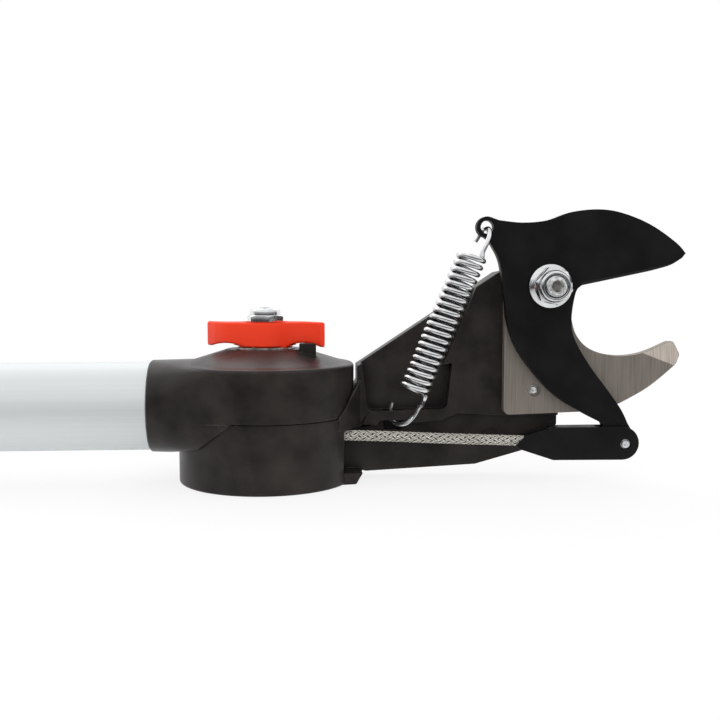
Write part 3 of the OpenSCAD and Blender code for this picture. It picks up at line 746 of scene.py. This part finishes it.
class PRUNER_OT_lever(bpy.types.Operator):
    """Rounds the clamp lever all over"""

    bl_idname = "pruner.lever"
    bl_label = "Clamp lever"

    def execute(self, context):
        lever = copy_of("clamp_lever", "clamp_lever_dressed")
        break_edges(lever, context.scene.pruner_sizes.lever_round, segments=4, angle=30)
        even_flats(smooth(lever, 40))
        carry(painted(lever, finish("moulded_orange")), "lever", "orange_plastic", "clamp_lever")
        return {"FINISHED"}


def chamfered_hex(name, height, turn, both=False):
    """A hexagon on Z whose corners are turned off in a cone, at its top or at both ends"""
    steps, slope, flat = 96, math.tan(math.radians(26.5)), 0.96*HEX_ACROSS/2
    side = math.pi/3
    points = []
    for i in range(steps):
        a = 2*math.pi*i/steps
        reach = HEX_ACROSS/2/math.cos((a + side/2) % side - side/2)
        drop = slope*(reach - flat)
        column = [(flat, 0.0), (reach, drop)] if both else [(reach, 0.0)]
        column += [(reach, height - drop), (flat, height)]
        points += [(r*math.cos(a + turn), r*math.sin(a + turn), z) for r, z in column]
    rows = len(points)//steps
    starts = range(0, len(points), rows)
    faces = [list(reversed(starts)), [start + rows - 1 for start in starts]]
    for start in starts:
        beside = (start + rows) % len(points)
        faces += [(start + k, beside + k, beside + k + 1, start + k + 1) for k in range(rows - 1)]
    prism = made_of(name, points, faces=faces)
    break_edges(prism, HEX_BREAK, angle=50)
    return prism


def lock_nut(name, turn, flange):
    """A lock nut on Z: flange if it has one, hexagon, crimped collar and its nylon insert"""
    corner_h, collar_h, bore = 0.0049, 0.0025, 0.0042
    lift = 0.0018 if flange else 0.0
    body = settle(chamfered_hex(name, corner_h, turn), Matrix.Translation((0, 0, lift)))
    base = lift + corner_h - 0.0002
    top = lift + corner_h + collar_h
    r = HEX_ACROSS/2 - 0.0004
    collar = turned("collar", [
        (0.0046, base), (r, base), (r, top - 0.0013), (r - 0.0002, top - 0.0006),
        (r - 0.0006, top - 0.0002), (r - 0.0011, top), (r - 0.0015, top - 0.0001),
        (r - 0.0016, top - 0.0004), (r - 0.0016, base)], steps=96)
    insert = turned("insert", [
        (0.00425, base), (0.0045, top - 0.0007), (r - 0.0014, top - 0.0005), (r - 0.0014, base)], steps=96)
    rings = [painted(smooth(body, 25), finish("bright_zinc")),
             painted(smooth(collar, 60), finish("bright_zinc")),
             painted(smooth(insert, 60), finish("natural_nylon"))]
    if flange:
        wide, neck = 0.0086, HEX_ACROSS/2
        rim = turned("flange", [
            (bore, 0.0), (wide - 0.0003, 0.0), (wide, 0.0003), (wide, 0.0009), (wide - 0.0002, 0.0012),
            (neck + 0.0004, lift + 0.0001), (neck, lift + 0.0007), (bore, lift + 0.0007)], steps=96)
        rings.append(painted(smooth(rim, 40), finish("bright_zinc")))
    return joined(name, *rings)


class PRUNER_OT_nuts(bpy.types.Operator):
    """Makes the two lock nuts, of which the pivot's has a flange"""

    bl_idname = "pruner.nuts"
    bl_label = "Lock nuts"

    def execute(self, context):
        top = lock_nut("swivel_nut_dressed", turn=math.radians(13), flange=False)
        settle(top, Matrix.Translation((0, 0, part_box("swivel_nut")[0][2])))
        carry(top, "pole", "zinc", "swivel_nut")
        pivot = lock_nut("pivot_nut_dressed", turn=math.radians(17), flange=True)
        settle(pivot, facing(PIVOT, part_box("pivot_nut")[1][1]))
        carry(pivot, "head", "zinc", "pivot_nut")
        return {"FINISHED"}


def screw_thread(pitch, turns, root):
    """A ridge round Z that rises by a pitch in each of its turns"""
    crest = THREAD_R - 0.00002
    tooth = [(root, 0, 0), (root, 0, 0.12*pitch), (crest, 0, 0.45*pitch),
             (crest, 0, 0.6*pitch), (root, 0, 0.95*pitch), (root, 0, pitch)]
    ridge = made_of("thread", tooth, chain(tooth))
    apply_modifier(ridge, "SCREW", angle=2*math.pi, screw_offset=pitch, iterations=turns - 1, steps=48,
                   render_steps=48, axis="Z", use_merge_vertices=True, merge_threshold=0.000002)
    edit_all(ridge)
    bpy.ops.mesh.remove_doubles(threshold=0.000002)
    bpy.ops.mesh.normals_make_consistent(inside=False)
    bpy.ops.object.mode_set(mode="OBJECT")
    return ridge


def threaded_bolt(name, length):
    """A bolt on Z: chamfered head below, shank, and a cut thread with a chamfered, dished end"""
    head_h, thread_len, turn = 0.0053, 0.012, math.radians(30)
    r, root, neck, dish_r = THREAD_R, THREAD_R - 0.00075, THREAD_R - 0.0008, 0.0023
    pitch = bpy.context.scene.pruner_sizes.thread_pitch
    head = chamfered_hex(name, head_h, turn, both=True)
    turns = int(thread_len/pitch)
    start = length - 0.0007 - turns*pitch
    shank = turned("shank", [(0.0, head_h - 0.0003), (r - 0.0001, head_h - 0.0003), (r - 0.0001, start),
                             (neck, start + 0.0004), (neck, length - 0.0008)])
    ridge = settle(screw_thread(pitch, turns, root), Matrix.Translation((0, 0, start)))
    end = turned("end", [
        (root - 0.0002, length - 0.0022), (r - 0.0002, length - 0.0011), (r - 0.00025, length - 0.0009),
        (r - 0.0009, length - 0.0002), (r - 0.0013, length), (dish_r, length)])
    dish = turned("dish", [(dish_r, length), (0.0018, length - 0.0005), (0.0, length - 0.0006)])
    bright = [painted(smooth(part, 40), finish("bright_zinc")) for part in (head, shank, ridge)]
    return joined(name, *bright, painted(smooth(end, 40), finish("rough_zinc")),
                  painted(smooth(dish, 40), finish("painted_shade_zinc")))


class PRUNER_OT_bolts(bpy.types.Operator):
    """Makes the swivel bolt and the pivot bolt, with cut threads"""

    bl_idname = "pruner.bolts"
    bl_label = "Bolts"

    def execute(self, context):
        low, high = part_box("swivel_bolt")
        swivel = threaded_bolt("swivel_bolt_dressed", high[2] - low[2])
        settle(swivel, Matrix.Translation((0, 0, low[2])))
        carry(swivel, "pole", "zinc", "swivel_bolt")
        low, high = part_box("pivot_bolt")
        pivot = threaded_bolt("pivot_bolt_dressed", high[1] - low[1])
        settle(pivot, facing(PIVOT, high[1]))
        carry(pivot, "head", "zinc", "pivot_bolt")
        return {"FINISHED"}


class PRUNER_OT_washers(bpy.types.Operator):
    """Turns the four washers with broken edges"""

    bl_idname = "pruner.washers"
    bl_label = "Washers"

    def execute(self, context):
        rows = (("swivel_bolt_washer", "pole", "zinc", "bright_zinc"),
                ("swivel_nut_washer", "pole", "zinc", "bright_zinc"),
                ("lever_washer", "pole", "steel", "painted_shade_zinc"),
                ("pivot_bolt_washer", "head", "zinc", "bright_zinc"))
        hole, soft = 0.00405, 0.0002
        for node, body, slot, look in rows:
            low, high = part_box(node)
            along_y = node.startswith("pivot")
            r = (high[0] - low[0])/2
            t = high[1] - low[1] if along_y else high[2] - low[2]
            place = facing(PIVOT, low[1], away=True) if along_y else Matrix.Translation((0, 0, low[2]))
            ring = turned(node + "_dressed", [
                (hole, soft), (hole + soft, 0.0), (r - soft, 0.0), (r - 0.3*soft, 0.3*soft), (r, soft),
                (r, t - soft), (r - 0.3*soft, t - 0.3*soft), (r - soft, t), (hole + soft, t),
                (hole, t - soft), (hole, soft)], place)
            carry(painted(smooth(ring, 50), finish(look)), body, slot, node)
        return {"FINISHED"}


def rivet_hole(edge):
    """True on the rim of the hook plate's rivet hole, which stays sharp"""
    return all(math.hypot(end.co.x - RIVET.x, end.co.z - RIVET.z) < 0.004 for end in edge.verts)


def ground_face(middle, normal):
    """True on the sloping ground flat in front of the hook's tip"""
    tip_from = 0.145
    return -0.9999 < normal.y < -0.97 and middle.x > tip_from


class PRUNER_OT_cutter(bpy.types.Operator):
    """Breaks the edges of the moving blade and of the hook plate"""

    bl_idname = "pruner.cutter"
    bl_label = "Blade and hook plate"

    def execute(self, context):
        width = context.scene.pruner_sizes.plate_break
        blade = copy_of("cutting_blade", "cutting_blade_dressed")
        break_edges(blade, width, angle=50)
        even_flats(smooth(blade, 30))
        carry(painted(blade, finish("coated_black")), "blade", "black_coat", "cutting_blade")
        plate = copy_of("hook_plate", "hook_plate_dressed")
        break_edges(plate, width, angle=50, spare=rivet_hole)
        painted(plate, finish("ground_steel")).data.materials.append(finish("ground_tip"))
        smooth(plate, 30)
        edit_all(plate)
        pick_faces(plate, ground_face)
        bpy.context.object.active_material_index = 1
        bpy.ops.object.material_slot_assign()
        bpy.ops.mesh.region_to_loop()
        bpy.ops.mesh.mark_sharp()
        bpy.ops.object.mode_set(mode="OBJECT")
        even_flats(plate)
        carry(plate, "head", "steel", "hook_plate")
        return {"FINISHED"}


class PRUNER_OT_link(bpy.types.Operator):
    """Rounds the folded link"""

    bl_idname = "pruner.link"
    bl_label = "Pull link"

    def execute(self, context):
        link = copy_of("pull_link", "pull_link_dressed")
        break_edges(link, 1.6*context.scene.pruner_sizes.plate_break, segments=3, angle=45)
        even_flats(smooth(link, 35))
        carry(painted(link, finish("coated_black")), "link", "black_coat", "pull_link")
        return {"FINISHED"}


class PRUNER_OT_pins(bpy.types.Operator):
    """Turns the link's pin and the hook plate's rivet, with a dent in their ends"""

    bl_idname = "pruner.pins"
    bl_label = "Pins and rivet"

    def execute(self, context):
        for node, body, at in (("link_pin", "link", LINK_PIN), ("hook_rivet", "head", RIVET)):
            low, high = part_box(node)
            r, length = (high[0] - low[0])/2, high[1] - low[1]
            piece = turned(node + "_dressed", [
                (0.0, 0.0), (r - 0.0004, 0.0), (r, 0.0004), (r, length - 0.0016),
                (r - 0.0005, length - 0.0015), (r - 0.0004, length - 0.0006), (r - 0.0006, length - 0.0002),
                (r - 0.0010, length), (0.0009, length), (0.0006, length - 0.0003), (0.0, length - 0.0004)],
                facing(at, high[1]), steps=48)
            carry(painted(smooth(piece, 50), finish("rough_zinc")), body, "zinc", node)
        return {"FINISHED"}


class PRUNER_OT_screws(bpy.types.Operator):
    """Makes one socket screw with a cross recess, and its copy"""

    bl_idname = "pruner.screws"
    bl_label = "Socket screws"

    def execute(self, context):
        sleeve, tip, middle = 0.0182, 0.00935, -0.041
        head_from, head_top, head_r, r = sleeve - 0.0006, sleeve + 0.0004, 0.0028, 0.0015
        recess = (0.0032, 0.0007, 0.0010)
        screw = turned("socket_screws_dressed", [
            (0.0, tip), (r - 0.0003, tip), (r, tip + 0.0004), (r, head_from), (head_r, head_from),
            (head_r, head_top - 0.0004), (head_r - 0.0003, head_top - 0.0001), (head_r - 0.0008, head_top),
            (0.0, head_top)], steps=48)
        for turn in (0, math.pi/2):
            clear_selection()
            bpy.ops.mesh.primitive_cube_add(size=1, location=(0, 0, head_top), rotation=(0, 0, turn))
            cutter = bpy.context.object
            cutter.scale = recess
            settle(cutter)
            apply_modifier(screw, "BOOLEAN", operation="DIFFERENCE", object=cutter, solver="EXACT")
            bpy.data.objects.remove(cutter, do_unlink=True)
        second = bpy.data.objects.new("socket_screw_b", screw.data.copy())
        bpy.context.collection.objects.link(second)
        for piece, angle in ((screw, 30), (second, -30)):
            settle(piece, Matrix.Translation((middle, 0, POLE_Z))
                   @ Matrix.Rotation(math.radians(angle), 4, "X") @ Matrix.Rotation(-math.pi/2, 4, "X"))
        both = joined("socket_screws_dressed", screw, second)
        carry(painted(smooth(both, 40), finish("bright_zinc")), "pole", "zinc", "socket_screws")
        return {"FINISHED"}


class PRUNER_OT_spring(bpy.types.Operator):
    """Winds the return spring and bends its two hooks"""

    bl_idname = "pruner.spring"
    bl_label = "Return spring"

    def execute(self, context):
        sizes = context.scene.pruner_sizes
        axis = COIL_HEAD - COIL_FOOT
        length = axis.length
        axis.normalize()
        across = Vector((0, 1, 0)).cross(axis).normalized()
        deep = axis.cross(across)
        middle = (sizes.coil - sizes.wire)/2/MM
        per_turn = 16
        rings = sizes.coils*per_turn
        coils = []
        for i in range(rings + 1):
            a = 2*math.pi*i/per_turn
            coils.append(COIL_FOOT + axis*length*i/rings + middle*(math.cos(a)*across + math.sin(a)*deep))
        foot = curve_through(FOOT_HOOK, steps=3)
        head = curve_through(HEAD_HOOK, steps=3)
        path = [p*MM for p in curve_through(foot + coils + head, steps=2)]
        spring = painted(wires("return_spring_dressed", [path], sizes.wire/2, detail=3),
                         finish("spring_zinc"))
        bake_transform(spring)
        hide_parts("return_spring")
        return {"FINISHED"}


def stations(route, step):
    """Even points along a route, each with two cross directions that turn with it"""
    fine = curve_through(route, steps=24)
    marks, gone = [fine[0]], 0.0
    for a, b in zip(fine, fine[1:]):
        gone += (b - a).length
        if gone >= step:
            marks.append(b)
            gone = 0.0
    side = Vector((0, 0, 1))
    rows = []
    for i, point in enumerate(marks):
        ahead = (marks[min(i + 1, len(marks) - 1)] - marks[max(i - 1, 0)]).normalized()
        side = (side - ahead*side.dot(ahead)).normalized()
        rows.append((point, side.copy(), ahead.cross(side)))
    return rows


def strand(rows, way, start, middle, sway):
    """Path of a yarn that winds one way round the cord, over and under the strands that it crosses"""
    sizes = bpy.context.scene.pruner_sizes
    path, along, last = [], 0.0, rows[0][0]
    for point, u, v in rows:
        along += (point - last).length
        last = point
        turn = 2*math.pi*along*MM/sizes.braid_pitch
        a = start + way*turn
        r = middle + way*sway*math.cos(sizes.carriers*turn)
        path.append((point + r*(math.cos(a)*u + math.sin(a)*v))*MM)
    return path


def braided(name, route, step, yarns):
    """A cord of strands, each of so many yarns, that are braided round a core"""
    sizes = bpy.context.scene.pruner_sizes
    rows = stations(route, step)
    yarn_r = 0.25 if yarns > 1 else 0.36
    sway, yarn_apart, sunk = 0.26, 0.58, 0.3
    middle = sizes.cord/2/MM - yarn_r - sway
    paths = []
    for way in (1, -1):
        for k in range(sizes.carriers):
            for y in range(yarns):
                start = 2*math.pi*k/sizes.carriers + (y - (yarns - 1)/2)*yarn_apart/middle
                paths.append(strand(rows, way, start, middle, sway))
    strands = wires(name, paths, yarn_r*MM, detail=1)
    core = wires("core", [[point*MM for point, _, _ in rows]], (middle - sunk)*MM, detail=3)
    return joined(name, painted(strands, finish("cord_yarn")), painted(core, finish("cord_core_in_painted_shade")))


class PRUNER_OT_cord(bpy.types.Operator):
    """Braids the cord's two runs and finishes its terminal"""

    bl_idname = "pruner.cord"
    bl_label = "Pull cord"

    def execute(self, context):
        front = braided("pull_cord_dressed", CORD_FRONT, step=0.55, yarns=2)
        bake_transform(front)
        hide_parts("pull_cord")
        tail = braided("cord_tail_dressed", CORD_BACK, step=0.9, yarns=1)
        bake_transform(tail)
        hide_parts("cord_tail")
        eye = copy_of("cord_terminal", "cord_terminal_dressed")
        break_edges(eye, 0.3*MM, angle=40)
        carry(painted(smooth(eye, 35), finish("bright_zinc")), "tail", "zinc", "cord_terminal")
        return {"FINISHED"}


class PRUNER_OT_sheave(bpy.types.Operator):
    """Finishes the sheave, its bush, the guide roller and the pins inside the drum and the link"""

    bl_idname = "pruner.sheave"
    bl_label = "Sheave and roller"

    def execute(self, context):
        rows = (("cord_sheave", "sheave", "nylon", "natural_nylon"),
                ("guide_roller", "roller", "nylon", "natural_nylon"),
                ("sheave_bush", "pole", "steel", "ground_steel"),
                ("guide_pin", "head", "zinc", "bright_zinc"),
                ("cord_pin", "link", "zinc", "bright_zinc"))
        for node, body, slot, look in rows:
            piece = copy_of(node, node + "_dressed")
            break_edges(piece, 0.2*MM, angle=40)
            carry(painted(smooth(piece, 40), finish(look)), body, slot, node)
        return {"FINISHED"}


def white_room(stage):
    """White background with an even light, and a dark horizon behind the camera for the metal"""
    world = bpy.data.worlds.new("white_room")
    bpy.context.scene.world = world
    world.cycles.sampling_method = "NONE"
    world.use_nodes = True
    room = Tree(world.node_tree)
    path = room.node("ShaderNodeLightPath").outputs
    axis = room.axes(room.node("ShaderNodeTexCoord").outputs["Generated"])
    level = room.number("MULTIPLY_ADD", room.number("ABSOLUTE", axis["Z"]), 1.2, -0.35)
    horizon = room.ranged(room.number("MAXIMUM", level, axis["Y"]), -0.30, 0.15, 0.06, 1.0)
    light = room.node("ShaderNodeBackground", color=WHITE, strength=stage.sky)
    seen = room.node("ShaderNodeBackground", color=WHITE)
    shine = room.node("ShaderNodeBackground", color=WHITE)
    room.link(horizon, shine, "Strength")
    glossy = room.number("MAXIMUM", path["Is Glossy Ray"], path["Is Transmission Ray"])
    around = room.either(glossy, light.outputs["Background"], shine.outputs["Background"])
    shown = room.either(path["Is Camera Ray"], around, seen.outputs["Background"])
    room.link(shown, room.node("ShaderNodeOutputWorld"), "Surface")


def white_floor():
    """White floor that the drum stands on, with a faint shadow, darker far in front for the metal"""
    clear_selection()
    bpy.ops.mesh.primitive_plane_add(size=8, location=(0, 0, -0.0001))
    floor = settle(bpy.context.object)
    floor.name = "floor"
    material = bpy.data.materials.new("white_floor")
    material.use_nodes = True
    look = Tree(material.node_tree)
    path = look.node("ShaderNodeLightPath").outputs
    place = look.node("ShaderNodeTexCoord").outputs["Object"]
    far = look.node("ShaderNodeVectorMath", operation="LENGTH")
    look.link(place, far, 0)
    fade = look.ranged(far.outputs["Value"], 0.12, 0.45, 0.82, 1.0)
    paint = look.node("ShaderNodeBsdfDiffuse", color=(0.96, 0.96, 0.96, 1))
    seen = look.node("ShaderNodeEmission", color=WHITE)
    shine = look.node("ShaderNodeEmission", color=WHITE)
    look.link(look.ranged(look.axes(place)["Y"], -0.22, -0.03, 0.06, 1.0), shine, "Strength")
    share = look.number("MULTIPLY", path["Is Camera Ray"], fade)
    direct = look.either(share, paint.outputs["BSDF"], seen.outputs["Emission"])
    shown = look.either(path["Is Glossy Ray"], direct, shine.outputs["Emission"])
    look.link(shown, look.node("ShaderNodeOutputMaterial"), "Surface")
    floor.data.materials.append(material)


def soft_light(name, place, aim, size, power):
    """A large soft lamp that points at a place"""
    data = bpy.data.lights.new(name, "AREA")
    data.shape = "RECTANGLE"
    data.size, data.size_y = size
    data.energy = power
    lamp = bpy.data.objects.new(name, data)
    bpy.context.collection.objects.link(lamp)
    lamp.location = place
    lamp.rotation_euler = (Vector(aim) - Vector(place)).to_track_quat("-Z", "Y").to_euler()


class PRUNER_OT_stage(bpy.types.Operator):
    """Sets the white room, the floor, the soft light and the camera"""

    bl_idname = "pruner.stage"
    bl_label = "Stage"

    def execute(self, context):
        stage = context.scene.pruner_stage
        white_room(stage)
        white_floor()
        soft_light("key_light", place=(-0.15, 0.50, 0.60), aim=(0.02, 0.0, 0.04), size=(1.2, 0.4),
                   power=stage.key)
        data = bpy.data.cameras.new("camera")
        data.lens = stage.lens
        data.sensor_width = 36
        data.clip_start = 0.01
        camera = bpy.data.objects.new("camera", data)
        context.collection.objects.link(camera)
        camera.location = (0.01259, -0.380, 0.08086)
        camera.rotation_euler = (math.radians(85), 0, math.radians(-3.8))
        context.scene.camera = camera
        context.scene.view_settings.view_transform = "Standard"
        return {"FINISHED"}


MAKERS = (
    PRUNER_OT_stage, PRUNER_OT_spring, PRUNER_OT_cord, PRUNER_OT_pole, PRUNER_OT_housing, PRUNER_OT_lever,
    PRUNER_OT_nuts, PRUNER_OT_bolts, PRUNER_OT_washers, PRUNER_OT_cutter, PRUNER_OT_link, PRUNER_OT_pins,
    PRUNER_OT_screws, PRUNER_OT_sheave,
)


class PRUNER_PT_panel(bpy.types.Panel):
    """Lists the sizes, the colours and the makers"""

    bl_idname = "PRUNER_PT_panel"
    bl_label = "Pole pruner head"
    bl_space_type = "VIEW_3D"
    bl_region_type = "UI"
    bl_category = "Pruner"

    def draw(self, context):
        column = self.layout.column()
        for group in (context.scene.pruner_sizes, context.scene.pruner_colours, context.scene.pruner_stage):
            for name in group.__annotations__:
                column.prop(group, name)
        for maker in MAKERS:
            column.operator(maker.bl_idname)


CLASSES = (PrunerSizes, PrunerColours, PrunerStage) + MAKERS + (PRUNER_PT_panel,)


def register():
    """Registers the classes and hangs the settings on the scene"""
    for item in CLASSES:
        bpy.utils.register_class(item)
    bpy.types.Scene.pruner_sizes = PointerProperty(type=PrunerSizes)
    bpy.types.Scene.pruner_colours = PointerProperty(type=PrunerColours)
    bpy.types.Scene.pruner_stage = PointerProperty(type=PrunerStage)


def unregister():
    """Takes the settings and the classes away again"""
    del bpy.types.Scene.pruner_stage
    del bpy.types.Scene.pruner_colours
    del bpy.types.Scene.pruner_sizes
    for item in reversed(CLASSES):
        bpy.utils.unregister_class(item)


def main():
    """Makes every piece and the stage"""
    register()
    bpy.ops.pruner.stage()
    bpy.ops.pruner.spring()
    bpy.ops.pruner.cord()
    bpy.ops.pruner.pole()
    bpy.ops.pruner.housing()
    bpy.ops.pruner.lever()
    bpy.ops.pruner.nuts()
    bpy.ops.pruner.bolts()
    bpy.ops.pruner.washers()
    bpy.ops.pruner.cutter()
    bpy.ops.pruner.link()
    bpy.ops.pruner.pins()
    bpy.ops.pruner.screws()
    bpy.ops.pruner.sheave()


if __name__ == "__main__":
    main()
